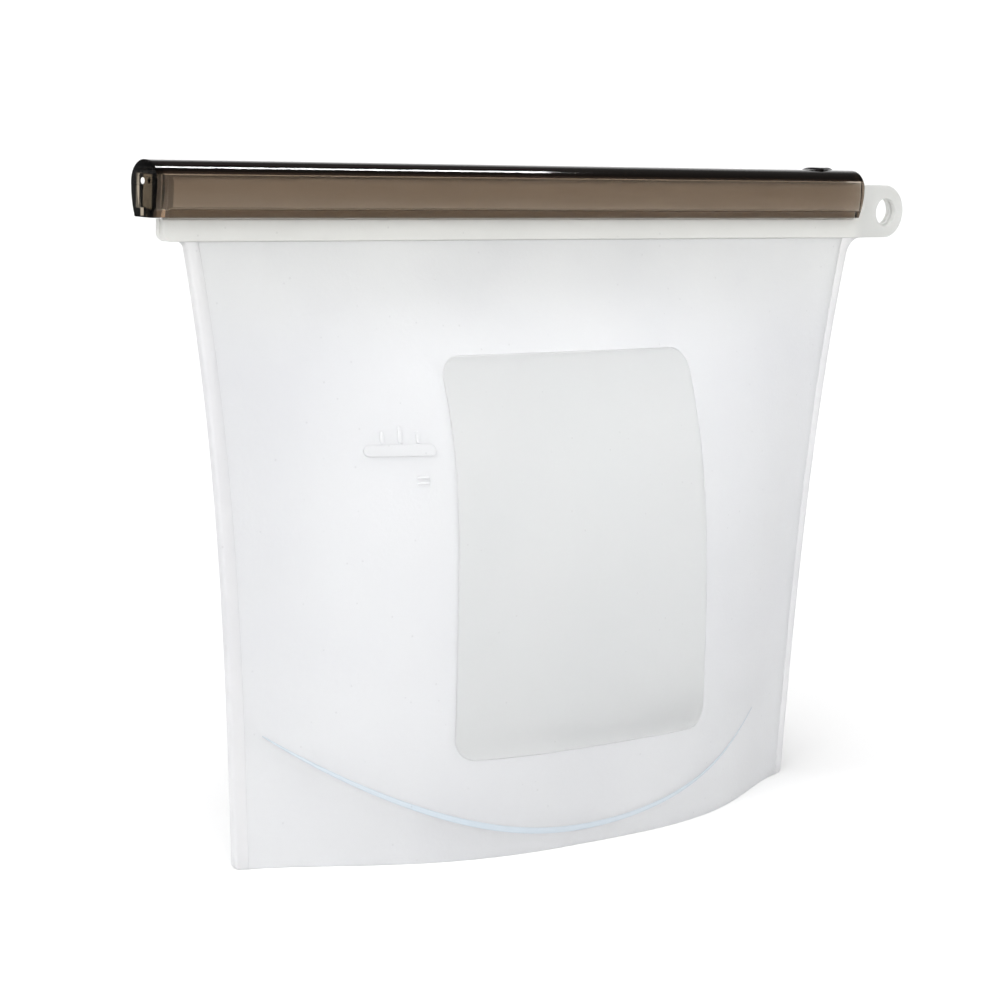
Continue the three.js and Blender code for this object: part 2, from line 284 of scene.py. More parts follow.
def inside(points, outline):
    """Which points lie inside a closed outline."""
    x, y = points[:, 0], points[:, 1]
    found = np.zeros(len(points), bool)
    for (ax, ay), (bx, by) in zip(outline, np.roll(outline, -1, 0)):
        crosses = (ay > y) != (by > y)
        with np.errstate(divide="ignore", invalid="ignore"):
            found ^= crosses & (x < (bx - ax) * (y - ay) / (by - ay) + ax)
    return found


def clearance(points, outline):
    """Distance from each point to a closed outline."""
    nearest = np.full(len(points), np.inf)
    for a, b in zip(outline, np.roll(outline, -1, 0)):
        along = b - a
        t = np.clip((points - a) @ along / max(along @ along, 1e-18), 0, 1)
        nearest = np.minimum(nearest, np.linalg.norm(points - a - t[:, None] * along, axis=1))
    return nearest


# ------------------------------------------------------------------ meshes
def placed(name, data):
    """A new object with data, in the scene."""
    thing = bpy.data.objects.new(name, data)
    bpy.context.scene.collection.objects.link(thing)
    return thing


def finished(name, mesh, body, nodes, material):
    """A new object from mesh, which rides on body and stands for any CAD nodes named."""
    mesh.set_sharp_from_angle(angle=CREASE)
    piece = placed(name, mesh)
    piece.data.materials.append(material)
    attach(piece, body)
    if nodes:
        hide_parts(*nodes)
    return piece


def mesh_of(name, points, faces):
    mesh = bpy.data.meshes.new(name)
    mesh.from_pydata([tuple(p) for p in points], [], faces)
    work = bmesh.new()
    work.from_mesh(mesh)
    bmesh.ops.remove_doubles(work, verts=work.verts, dist=MERGE_DISTANCE)
    bmesh.ops.recalc_face_normals(work, faces=work.faces)
    work.to_mesh(mesh)
    work.free()
    mesh.shade_smooth()
    return mesh


def plate(name, outline, holes, place, rim, thickness, spacing):
    """A closed sheet with rounded rims.

    outline runs counter-clockwise and holes clockwise, in the sheet's own plane;
    place(u, v, w) puts a point in space, with w from 0 to 1 through the thickness.
    """
    edges = [np.array(outline)] + [np.array(hole) for hole in holes]
    flat = [grown(edge, -rim) for edge in edges]
    low, high = flat[0].min(0), flat[0].max(0)
    grid = np.array([(u, v) for u in np.arange(low[0], high[0], spacing)
                     for v in np.arange(low[1], high[1], spacing)]) if spacing else np.zeros((0, 2))
    if len(grid):
        keep = inside(grid, flat[0]) & (clearance(grid, flat[0]) > spacing / 2)
        for hole in flat[1:]:
            keep &= ~inside(grid, hole) & (clearance(grid, hole) > spacing / 2)
        grid = grid[keep]
    starts, constraints, ring = [], [], []
    for edge in flat:
        first = len(ring)
        starts.append(first)
        ring.extend(edge)
        constraints += [(first + i, first + (i + 1) % len(edge)) for i in range(len(edge))]
    verts, _, faces, origins, _, _ = delaunay_2d_cdt(
        [Vector(p) for p in ring + list(grid)], constraints, [], 0, CDT_TOLERANCE)
    cloud = np.array([tuple(v) for v in verts])
    where = {came: i for i, all_came in enumerate(origins) for came in all_came}
    centres = np.array([cloud[list(face)].mean(0) for face in faces])
    keep = inside(centres, flat[0])
    for hole in flat[1:]:
        keep &= ~inside(centres, hole)
    skin = [list(face) for face, wanted in zip(faces, keep) if wanted]

    points = [place(u, v, 0) for u, v in cloud] + [place(u, v, 1) for u, v in cloud]
    count = len(cloud)
    polygons = [face[::-1] for face in skin] + [[i + count for i in face] for face in skin]
    angles = np.linspace(0, math.pi, ARC_STEPS // 2 + 2)[1:-1]
    for edge, inner, first in zip(edges, flat, starts):
        n = len(edge)
        ends = [where[first + i] for i in range(n)]
        rows = [ends]
        for a in angles:
            out = (1 - math.sin(a)) * rim
            depth = rim * (1 - math.cos(a))
            if a >= math.pi / 2:
                depth = thickness - rim * (1 + math.cos(a))
            row = grown(edge, -out)
            rows.append(list(range(len(points), len(points) + n)))
            points += [place(u, v, depth / thickness) for u, v in row]
        rows.append([i + count for i in ends])
        for lower, upper in zip(rows, rows[1:]):
            polygons += [(lower[i], lower[(i + 1) % n], upper[(i + 1) % n], upper[i])
                         for i in range(n)]
    return mesh_of(name, points, polygons)


def loft(name, rings):
    """A closed skin over rings of equally many points, with flat ends."""
    n = len(rings[0])
    points = [point for ring in rings for point in ring]
    faces = [(r * n + i, r * n + (i + 1) % n, (r + 1) * n + (i + 1) % n, (r + 1) * n + i)
             for r in range(len(rings) - 1) for i in range(n)]
    faces += [tuple(range(n))[::-1], tuple(range(len(points) - n, len(points)))]
    mesh = mesh_of(name, points, faces)
    work = bmesh.new()
    work.from_mesh(mesh)
    bmesh.ops.triangulate(work, faces=[f for f in work.faces if len(f.verts) > 4])
    work.to_mesh(mesh)
    work.free()
    return mesh


def run_along_x(name, section, x0, x1):
    """A closed (y, z) section run along X."""
    return loft(name, [[(x, y, z) for y, z in section] for x in (x0, x1)])


def with_modifiers(mesh, **wanted):
    """mesh with join=[meshes] added, cut=[meshes] taken away and sharp edges softened by bevel."""
    carrier = placed("carrier", mesh)
    helpers = []
    solids = [("UNION", m) for m in wanted.get("join", [])]
    solids += [("DIFFERENCE", m) for m in wanted.get("cut", [])]
    for operation, other in solids:
        helper = placed("helper", other)
        helpers.append(helper)
        step = carrier.modifiers.new("step", "BOOLEAN")
        step.operation, step.solver, step.object = operation, "EXACT", helper
    if "bevel" in wanted:
        bevel = carrier.modifiers.new("bevel", "BEVEL")
        bevel.width, bevel.segments = wanted["bevel"], 3
        bevel.limit_method, bevel.angle_limit = "ANGLE", CREASE
        bevel.harden_normals = False
    shape = carrier.evaluated_get(bpy.context.evaluated_depsgraph_get())
    made = bpy.data.meshes.new_from_object(shape)
    made.name = mesh.name
    for done in [carrier] + helpers:
        bpy.data.objects.remove(done)
    made.shade_smooth()
    return made


# ------------------------------------------------------------------ materials
def node_material(name):
    material = bpy.data.materials.new(name)
    material.use_nodes = True
    tree = material.node_tree
    return material, tree, tree.nodes["Principled BSDF"]


def add_node(tree, kind, **values):
    node = tree.nodes.new("ShaderNode" + kind)
    for key, value in values.items():
        if key in node.inputs:
            node.inputs[key].default_value = value
        else:
            setattr(node, key, value)
    return node


def ramp(tree, source, *stops):
    """A colour ramp over source; each stop is (position, colour)."""
    node = add_node(tree, "ValToRGB")
    elements = node.color_ramp.elements
    while len(elements) < len(stops):
        elements.new(0.5)
    for element, (position, colour) in zip(elements, stops):
        element.position, element.color = position, (*colour, 1)
    tree.links.new(source, node.inputs["Fac"])
    return node.outputs["Color"]


def grey(value):
    return (value, value, value)


def mixed(tree, factor, a, b, blend="MIX"):
    """Colour a mixed with colour b; each of the three is a socket or a constant."""
    node = add_node(tree, "Mix", data_type="RGBA", blend_type=blend)
    for name, value in (("Factor", factor), ("A", a), ("B", b)):
        if isinstance(value, bpy.types.NodeSocket):
            tree.links.new(value, node.inputs[name])
        else:
            node.inputs[name].default_value = value
    return node.outputs["Result"]


def stepped(tree, source, low, high, to_low=0.0, kind="LINEAR"):
    """source taken from low..high to to_low..1 and clamped there."""
    node = add_node(tree, "MapRange", interpolation_type=kind)
    for name, value in (("From Min", low), ("From Max", high), ("To Min", to_low)):
        node.inputs[name].default_value = value
    tree.links.new(source, node.inputs["Value"])
    return node.outputs["Result"]


def computed(tree, operation, *sources):
    node = add_node(tree, "Math", operation=operation)
    for source, socket in zip(sources, node.inputs):
        tree.links.new(source, socket)
    return node.outputs["Value"]


def texture(tree, place, kind, **values):
    node = add_node(tree, "Tex" + kind, **values)
    tree.links.new(place, node.inputs["Vector"])
    return node.outputs["Distance" if kind == "Voronoi" else "Fac"]


def object_space(tree):
    """The place on the object, whole and as its X, Y and Z."""
    place = add_node(tree, "TexCoord").outputs["Object"]
    parts = add_node(tree, "SeparateXYZ")
    tree.links.new(place, parts.inputs["Vector"])
    return place, parts.outputs


def silicone(name, light, dark, transmission, roughness, bump):
    """Cloudy moulded silicone: soft colour clouds, fine matt texture, a few dust specks.

    It is darker close under the neck and on the hang tab, both painted shade,
    and lighter in the beads that the rail covers, which is painted light.
    """
    material, tree, shader = node_material(name)
    place, level = object_space(tree)
    clouds = texture(tree, place, "Noise", Scale=CLOUD_SCALE, Detail=3, Roughness=0.55)
    grain = texture(tree, place, "Noise", Scale=GRAIN_SCALE, Detail=2, Roughness=0.6)
    dust = texture(tree, place, "Voronoi", Scale=DUST_SCALE)

    speck = ramp(tree, dust, (DUST_EDGE[0], grey(DUST_SHADE)), (DUST_EDGE[1], grey(1)))
    colour = ramp(tree, clouds, (TONE_STOPS[0], dark), (TONE_STOPS[1], light))
    colour = mixed(tree, DUST_STRENGTH, colour, speck, "MULTIPLY")
    # painted shade: darker close under the neck
    neck_painted_shade_mask = stepped(tree, level["Z"], NECK_Z - NECK_PAINTED_SHADE_DEPTH, NECK_Z, kind="SMOOTHSTEP")
    colour = mixed(tree, neck_painted_shade_mask, colour, (*NECK_PAINTED_SHADE, 1), "MULTIPLY")
    # painted shade: the hang tab, past the rail's open end, is darkened
    covered = stepped(tree, level["X"], RAIL_RIGHT_X + TAB_PAINTED_SHADE_RUN, RAIL_RIGHT_X,
                      kind="SMOOTHSTEP")
    tab = mixed(tree, covered, (*TAB_PAINTED_SHADE, 1), (1, 1, 1, 1))
    colour = mixed(tree, 1, colour, tab, "MULTIPLY")
    # painted light: the beads inside the rail, above its feet, take the lighter bead colour
    above_foot = stepped(tree, level["Z"], RAIL_BOTTOM_Z, CHANNEL_FLOOR_Z)
    colour = mixed(tree, computed(tree, "MULTIPLY", above_foot, covered), colour,
                   (*BEAD_PAINTED_LIGHT, 1))
    tree.links.new(colour, shader.inputs["Base Color"])

    rough = ramp(tree, clouds, (ROUGH_STOPS[0], grey(roughness * (1 - ROUGHNESS_SPREAD))),
                 (ROUGH_STOPS[1], grey(roughness * (1 + ROUGHNESS_SPREAD))))
    tree.links.new(rough, shader.inputs["Roughness"])
    dent = add_node(tree, "Bump", Strength=bump, Distance=GRAIN_DEPTH)
    tree.links.new(grain, dent.inputs["Height"])
    tree.links.new(dent.outputs["Normal"], shader.inputs["Normal"])
    shader.inputs["Transmission Weight"].default_value = transmission
    shader.inputs["IOR"].default_value = SILICONE_IOR
    return material


def smoke_plastic(name, light, dark):
    """Clear plastic tinted smoky brown: flow streaks, fine wear, deeper colour where thick; painted
    shade on dome and end.
    """
    material, tree, shader = node_material(name)
    place, level = object_space(tree)
    stretch = add_node(tree, "Mapping", Scale=STREAK_STRETCH)
    tree.links.new(place, stretch.inputs["Vector"])
    streaks = texture(tree, stretch.outputs["Vector"], "Noise",
                      Scale=STREAK_SCALE, Detail=3, Roughness=0.5)
    wear = texture(tree, place, "Noise", Scale=WEAR_SCALE, Detail=2)

    # painted shade: the dome above the channel's top is painted near black
    dome_painted_shade_mask = stepped(tree, level["Z"], CHANNEL_TOP_Z + DOME_PAINTED_SHADE_LOW,
                      CHANNEL_TOP_Z + DOME_PAINTED_SHADE_HIGH)
    colour = ramp(tree, streaks, (STREAK_STOPS[0], dark), (STREAK_STOPS[1], light))
    colour = mixed(tree, dome_painted_shade_mask, colour, (*DOME_PAINTED_SHADE, 1))
    # painted shade: the rail is darkened at its closed end
    end_painted_shade = stepped(tree, level["X"], END_HIGH[0] + END_PAINTED_SHADE_NEAR, END_HIGH[0] + END_PAINTED_SHADE_FAR,
                       END_PAINTED_SHADE)
    colour = mixed(tree, 1, colour, end_painted_shade, "MULTIPLY")
    tree.links.new(colour, shader.inputs["Base Color"])

    smooth, worn = SMOKE_ROUGHNESS
    rough = ramp(tree, wear, (WEAR_STOPS[0], grey(smooth)), (WEAR_STOPS[1], grey(worn)))
    tree.links.new(rough, shader.inputs["Roughness"])
    shader.inputs["Transmission Weight"].default_value = 1
    shader.inputs["IOR"].default_value = SMOKE_IOR
    shader.inputs["Specular IOR Level"].default_value = SMOKE_GLINT_LEVEL
    shader.inputs["Specular Tint"].default_value = (*SMOKE_GLINT, 1)
    depth = add_node(tree, "VolumeAbsorption", Color=(*SMOKE_DEPTH, 1), Density=SMOKE_DENSITY)
    tree.links.new(depth.outputs["Volume"], tree.nodes["Material Output"].inputs["Volume"])
    return material


def smoke_end(name, pale, painted_shade):
    """Closed end of the rail: pale before the channel, painted shade before walls, feet and dome.
    """
    material, tree, shader = node_material(name)
    place, level = object_space(tree)
    from_middle = computed(tree, "ABSOLUTE", level["Y"])

    def beyond(source, edge, way=1):
        return stepped(tree, source, edge - way * END_BLUR, edge + way * END_BLUR)

    wall = beyond(from_middle, CHANNEL_WIDTH / 2)
    dome = beyond(level["Z"], CHANNEL_TOP_Z)
    foot = computed(tree, "MULTIPLY", beyond(level["Z"], CHANNEL_FLOOR_Z, -1),
                    beyond(from_middle, SLOT_WIDTH / 2))
    # painted shade: near black before the solid walls, feet and dome
    solid_painted_shade = computed(tree, "MAXIMUM", computed(tree, "MAXIMUM", wall, dome), foot)
    flow = texture(tree, place, "Noise", Scale=END_FLOW_SCALE, Detail=3)
    shaded = tuple(END_FLOW_SHADE * c for c in pale)
    open_part = ramp(tree, flow, (STREAK_STOPS[0], shaded), (STREAK_STOPS[1], pale))
    tree.links.new(mixed(tree, solid_painted_shade, open_part, (*painted_shade, 1)), shader.inputs["Base Color"])
    smooth, worn = END_ROUGHNESS
    rough = ramp(tree, flow, (WEAR_STOPS[0], grey(smooth)), (WEAR_STOPS[1], grey(worn)))
    tree.links.new(rough, shader.inputs["Roughness"])
    shader.inputs["Transmission Weight"].default_value = 1
    shader.inputs["IOR"].default_value = END_IOR
    return material


# light tone, dark tone, transmission, roughness, strength of the fine texture
frosted = silicone("frosted_silicone", (0.93, 0.935, 0.945), (0.895, 0.90, 0.915), 0.6, 0.5, 0.25)
clear = silicone("clear_silicone", (0.975, 0.98, 0.975), (0.96, 0.97, 0.965), 0.8, 0.31, 0.05)
seam_silicone = silicone("seam_silicone", (0.84, 0.84, 0.85), (0.80, 0.80, 0.815), 0.5, 0.5, 0.15)
thick = silicone("thick_silicone", (0.90, 0.90, 0.885), (0.87, 0.87, 0.855), 0.38, 0.45, 0.15)
weld = silicone("weld_silicone", (0.66, 0.72, 0.775), (0.63, 0.70, 0.76), 0.3, 0.4, 0.1)
mark = silicone("mark_silicone", (0.91, 0.915, 0.925), (0.885, 0.89, 0.90), 0.5, 0.38, 0.1)
# painted highlight: the gate mark's pale grey stands for the glint on it
painted_highlight_stub = silicone("gate_painted_highlight", (0.42, 0.41, 0.39), (0.36, 0.35, 0.33), 0.2, 0.3, 0.2)
smoke = smoke_plastic("smoke_plastic", (0.93, 0.89, 0.84), (0.88, 0.83, 0.77))
# the second colour is the end's painted shade
closed_end = smoke_end("smoke_end", (0.10, 0.078, 0.052), (0.0003, 0.0003, 0.0003))


# ------------------------------------------------------------------ shape of the pouch
def swell(t, power):
    """Full (1) at 0, it dies out smoothly towards 1."""
    return math.cos(math.pi / 2 * min(1.0, max(0.0, t)) ** power) ** SWELL_END


def half_width(z):
    """From the middle of the pouch to the outer edge of a side seam."""
    s = z / NECK_Z
    return BASE_HALF_WIDTH + (TOP_HALF_WIDTH - BASE_HALF_WIDTH) * (s + s ** 3) / 2


def ripple(x, z, side):
    """Gentle unevenness, none at the seams, the rim and the neck."""
    m = (x - POUCH_X) / half_width(z)
    s = z / NECK_Z
    fade = max(0.0, 1 - m * m) * max(0.0, 4 * s * (1 - s))
    waves = (math.sin(5.1 * m + 7.3 * s + side) + 0.7 * math.sin(9.7 * m - 4.9 * s + 2 * side)
             + 0.5 * math.sin(3.3 * m + 13.1 * s))
    return RIPPLE * fade * waves


def inner_depth(x, z, side):
    """From the middle plane to the inner face of a wall."""
    across = swell(abs(x - POUCH_X) / half_width(z), SWELL_ACROSS)
    fullest = BASE_HALF_DEPTH - WALL - MIDDLE_GAP
    return MIDDLE_GAP + fullest * swell(z / NECK_Z, SWELL_UP) * across + ripple(x, z, side)


def on_wall(side, inner, outer):
    """Places a sheet from inner to outer, both measured from a wall's inner face."""
    def place(x, z, w):
        return x, side * (inner_depth(x, z, side) + inner + w * (outer - inner)), z
    return place


def wall_outline():
    top = NECK_Z - BOND
    levels = np.linspace(0, top, round(top / WALL_SPACING))
    reach = [half_width(z) - SEAM_WIDTH - BOND for z in levels]
    right = [(POUCH_X + r, z) for r, z in zip(reach, levels)]
    left = [(POUCH_X - r, z) for r, z in zip(reach, levels)]
    bottom = line(left[0], right[0], WALL_SPACING)[1:]
    over = line(right[-1], left[-1], WALL_SPACING)[1:]
    return right + over + left[::-1] + bottom


def window_outline(margin):
    return rounded_rectangle(
        WINDOW_LOW[0] - margin, WINDOW_LOW[2] - margin,
        WINDOW_HIGH[0] + margin, WINDOW_HIGH[2] + margin, WINDOW_RADIUS + margin, EDGE_SPACING)


def seam(name, direction, fillet):
    """One bonded edge of the pouch, rounded, flaring into the mouth band above it."""
    top = NECK_Z - BOND
    foot = SEAM_FOOT_RADIUS * (1 - np.cos(np.linspace(0, math.pi / 2, ARC_STEPS)))
    straight = np.linspace(SEAM_FOOT_RADIUS, NECK_Z - fillet, SEAM_STEPS)[1:-1]
    flared = NECK_Z - fillet * (1 - np.sin(np.linspace(0, math.pi / 2, 2 * ARC_STEPS)))
    rings = []
    for z in [*foot, *straight, *flared]:
        z = min(z, top)
        into = max(0.0, z - (NECK_Z - fillet))
        flare = fillet - math.sqrt(max(0.0, fillet ** 2 - into ** 2))
        drop = max(0.0, SEAM_FOOT_RADIUS - z)
        corner = SEAM_FOOT_RADIUS - math.sqrt(SEAM_FOOT_RADIUS ** 2 - drop ** 2)
        inner = half_width(z) - SEAM_WIDTH
        outer = half_width(z) + flare - corner
        half = SEAM_HALF_THICKNESS
        r = SEAM_RIM
        meet = inner_depth(POUCH_X + direction * inner, z, FRONT) + WALL
        section = [(inner, meet), (inner, -meet)]
        section += arc(outer - r, -half + r, r, -90, 0) + arc(outer - r, half - r, r, 0, 90)
        rings.append([(POUCH_X + direction * x, y, z) for x, y in section])
    return loft(name, rings)


# ------------------------------------------------------------------ pouch
window_hole = window_outline(BOND / 2)[::-1]
finished("front_wall", plate("front_wall", wall_outline(), [window_hole], on_wall(FRONT, 0, WALL),
                             WALL_RIM, WALL, WALL_SPACING),
         "bag", ["front_panel"], frosted)
finished("clear_window", plate("clear_window", window_outline(-BOND / 2), [],
                               on_wall(FRONT, 0, WALL + WINDOW_STEP),
                               WINDOW_RIM, WALL + WINDOW_STEP, WALL_SPACING),
         "bag", ["front_window"], clear)
finished("back_wall", plate("back_wall", wall_outline(), [], on_wall(BACK, 0, WALL),
                            WALL_RIM, WALL, WALL_SPACING),
         "bag", ["back_panel"], frosted)
for side_name, direction, fillet in (("left", -1, NOTCH_RADIUS), ("right", 1, TAB_FILLET_RADIUS)):
    finished("seam_" + side_name,
             seam("seam_" + side_name, direction, fillet),
             "bag", ["side_seam_" + side_name], seam_silicone)


def gusset_level(m):
    """Top of the pouch's floor where it meets a wall, at share m of the way to a side seam."""
    return GUSSET_LOW_Z + GUSSET_CLIMB * (m + GUSSET_SKEW * (1 - m * m)) ** 2


def gusset_sheet():
    """The folded floor of the pouch, climbing to both side seams."""
    steps_across, steps_deep = 72, 20
    points, faces = [], []

    def index(i, j, k):
        return (i * (steps_deep + 1) + j) * 2 + k

    for i in range(steps_across + 1):
        for j in range(steps_deep + 1):
            for k in (0, 1):
                m, c = 2 * i / steps_across - 1, 2 * j / steps_deep - 1
                crease = GUSSET_CREASE * (1 - c * c) * (1 - m * m)
                z = gusset_level(m) + crease - (1 - k) * GUSSET_WALL
                x = POUCH_X + m * (half_width(z) - SEAM_WIDTH - 2 * GUSSET_GAP)
                reach = min(inner_depth(x, z, FRONT), inner_depth(x, z, BACK)) - GUSSET_GAP
                points.append((x, c * max(MIDDLE_GAP, reach), z))
    for i in range(steps_across):
        for j in range(steps_deep):
            for k in (0, 1):
                faces.append((index(i, j, k), index(i + 1, j, k),
                              index(i + 1, j + 1, k), index(i, j + 1, k)))
        for j in (0, steps_deep):
            faces.append((index(i, j, 0), index(i + 1, j, 0), index(i + 1, j, 1), index(i, j, 1)))
    for j in range(steps_deep):
        for i in (0, steps_across):
            faces.append((index(i, j, 0), index(i, j + 1, 0), index(i, j + 1, 1), index(i, j, 1)))
    return mesh_of("gusset_floor", points, faces)


finished("gusset_floor", gusset_sheet(), "bag", ["base_gusset"], frosted)


def bond_line():
    """Outline of the weld that shows where the floor of the pouch is bonded to a wall."""
    upper, lower = [], []
    for m in np.linspace(BOND_LINE_LEFT, BOND_LINE_RIGHT, BOND_LINE_STEPS):
        z = gusset_level(m) - GUSSET_WALL / 2
        x = POUCH_X + m * (half_width(z) - SEAM_WIDTH)
        along = (m - BOND_LINE_LEFT) / (BOND_LINE_RIGHT - BOND_LINE_LEFT)
        half = BOND_LINE_TIP + BOND_LINE_WIDTH / 2 * math.sin(math.pi * along ** 0.7) ** 0.8
        upper.append((x, z + half))
        lower.append((x, z - half))
    return lower + upper[::-1]


def raised(name, side, outline, proud, rim, material):
    """A low raised shape on the outside of a wall."""
    mesh = plate(name, outline, [], on_wall(side, WALL + HAIR, WALL + HAIR + proud), rim, proud, 0)
    return finished(name, mesh, "bag", [], material)


for side_name, side in (("front", FRONT), ("back", BACK)):
    raised("gusset_bond_" + side_name, side, bond_line(), BOND_LINE_PROUD, BOND_LINE_RIM, weld)


def bar(x, z, length, height):
    return rounded_rectangle(x - length / 2, z - height / 2, x + length / 2, z + height / 2,
                             min(length, height) * MARK_ROUNDING, EDGE_SPACING)


raised("fill_mark_bar", FRONT, bar(MARK_X, MARK_BAR_Z, MARK_BAR_LENGTH, MARK_BAR_HEIGHT),
       MARK_PROUD, MARK_RIM, mark)
for i in (-1, 0, 1):
    height = MARK_STROKE_HEIGHT if i == 0 else MARK_STROKE_HEIGHT * MARK_SHORT_STROKE
    raised("fill_mark_stroke_%d" % (i + 2), FRONT,
           bar(MARK_X + i * MARK_STROKE_PITCH, MARK_STROKE_Z - (MARK_STROKE_HEIGHT - height) / 2,
               MARK_STROKE_WIDTH, height), MARK_PROUD, MARK_RIM, mark)
for i in (0, 1):
    raised("fill_mark_tick_%d" % (i + 1), FRONT,
           bar(MARK_TICK_X, MARK_TICK_Z - i * MARK_TICK_PITCH, MARK_TICK_LENGTH, MARK_TICK_HEIGHT),
           MARK_PROUD, MARK_TICK_RIM, mark)


# ------------------------------------------------------------------ mouth
def layer_place(side, thickness):
    def place(x, z, w):
        return x, side * (MIDDLE_GAP + w * thickness), z
    return place


TAB_RADIUS = (BEAD_TOP_Z - NECK_Z) / 2
TAB_X = TAB_RIGHT_X - TAB_RADIUS
TAB_Z = NECK_Z + TAB_RADIUS
TAB_LEFT_X = RAIL_RIGHT_X + TAB_CLEARANCE


def band_outline():
    """The mouth band and the hang tab that it ends in."""
    r = BAND_CORNER_RADIUS
    soft = TAB_CORNER_RADIUS
    points = arc(BAND_LEFT_X + r, NECK_Z + r, r, 180, 270)
    points += line(points[-1], (TAB_X, NECK_Z))[1:]
    points += arc(TAB_X, TAB_Z, TAB_RADIUS, -90, 90, 4 * ARC_STEPS)
    points += line(points[-1], (TAB_LEFT_X + soft, BEAD_TOP_Z))[1:]
    points += arc(TAB_LEFT_X + soft, BEAD_TOP_Z - soft, soft, 90, 180)
    points += line(points[-1], (TAB_LEFT_X, BAND_TOP_Z))[1:]
    points += line((TAB_LEFT_X, BAND_TOP_Z), (BAND_LEFT_X, BAND_TOP_Z))
    points += line((BAND_LEFT_X, BAND_TOP_Z), (BAND_LEFT_X, NECK_Z + r))
    return points


def bead_section(side):
    """The web that hangs in the rail's slot and the bead above it, in (y, z)."""
    inner, web = MIDDLE_GAP, MIDDLE_GAP + WEB_THICKNESS
    outer = MIDDLE_GAP + BEAD_THICKNESS
    low = BAND_TOP_Z - BAND_RIM
    soft = BEAD_FOOT_RADIUS
    half = [(inner, low), (web, low)]
    half += line((web, low), (web, BEAD_BOTTOM_Z))[1:] + [(web, BEAD_BOTTOM_Z)]
    half += arc(outer - soft, BEAD_BOTTOM_Z + soft, soft, -90, 0, 4)
    half += arc(outer - BEAD_RADIUS, BEAD_TOP_Z - BEAD_RADIUS, BEAD_RADIUS, 0, 90)
    half += [(inner, BEAD_TOP_Z)]
    return [(side * y, z) for y, z in half]


def lip(name, side):
    shift_x, shift_z = (-side * shift for shift in TAB_HOLE_SHIFT)
    hole = arc(TAB_X + shift_x, TAB_Z + shift_z, TAB_HOLE_RADIUS, 360, 0, 4 * ARC_STEPS)[:-1]
    band = plate(name, band_outline(), [hole], layer_place(side, BAND_THICKNESS),
                 BAND_RIM, BAND_THICKNESS, 0)
    bead = run_along_x(name + "_bead", bead_section(side), BEAD_LEFT_X,
                       TAB_LEFT_X + BEAD_INTO_TAB)
    return with_modifiers(band, join=[bead])


finished("front_mouth", lip("front_mouth", FRONT), "bag", ["front_lip"],
         thick)
finished("back_mouth", lip("back_mouth", BACK), "bag", ["back_lip"],
         thick)


# ------------------------------------------------------------------ rail
def rail_side(foot, shoulder, bottom):
    """The right half of the rail's outside, from the foot up to the dome's top, in (y, z)."""
    r = RAIL_FOOT_RADIUS
    dome = RAIL_TOP_Z - RAIL_SHOULDER_Z
    points = bezier((foot - r, bottom), (foot, bottom), (foot, bottom + r), 4)
    points += bezier((foot, bottom + r), (shoulder, (bottom + RAIL_SHOULDER_Z) / 2),
                     (shoulder, RAIL_SHOULDER_Z))
    points += [(shoulder * math.cos(a), RAIL_SHOULDER_Z + dome * math.sin(a))
               for a in np.linspace(0, math.pi / 2, DOME_STEPS)]
    return points


def rail_outline():
    right = rail_side(RAIL_FOOT_WIDTH / 2, RAIL_HALF_WIDTH, RAIL_BOTTOM_Z)
    return right + [(-y, z) for y, z in right[::-1][1:]]


def channel_outline():
    """The channel and the slot under it, in (y, z)."""
    half, slot = CHANNEL_WIDTH / 2, SLOT_WIDTH / 2
    soft = CHANNEL_CORNER_RADIUS
    right = [(slot, RAIL_BOTTOM_Z - WALL), (slot, CHANNEL_FLOOR_Z), (half, CHANNEL_FLOOR_Z)]
    right += arc(half - soft, CHANNEL_TOP_Z - soft, soft, 0, 90, 4)
    return right + [(-y, z) for y, z in right[::-1]]


def rail_mesh():
    """Dome, walls, feet and closed end in one moulding."""
    lead = 4 * RAIL_EDGE
    stations = (END_LOW[0], END_LOW[0] + lead, RAIL_RIGHT_X - lead, RAIL_RIGHT_X)
    outside = loft("rail_body", [[(x, y, z) for y, z in rail_outline()] for x in stations])
    hollow = run_along_x("hollow", channel_outline(), END_HIGH[0], RAIL_RIGHT_X + WALL)
    made = with_modifiers(outside, cut=[hollow], bevel=RAIL_EDGE)
    for face in made.polygons:
        face.use_smooth = abs(face.normal.x) < FLAT_END
        closes = face.normal.x < -FLAT_END and face.center.x < END_HIGH[0] - BOND
        face.material_index = int(closes)  # the end has its own material, the second one
    return made


rail = finished("rail_body", rail_mesh(), "rail", ["rail_channel", "rail_end_wall"],
                smoke)
rail.data.materials.append(closed_end)

gate = plate("rail_gate_mark",
             arc(GATE_MARK_Y, GATE_MARK_Z, GATE_MARK_RADIUS, 0, 360, 2 * ARC_STEPS)[:-1], [],
             lambda y, z, w: (END_LOW[0] - HAIR - w * GATE_MARK_PROUD, y, z),
             GATE_MARK_RIM, GATE_MARK_PROUD, 0)
# the gate mark carries a painted highlight
finished("rail_gate_mark", gate, "rail", [], painted_highlight_stub)


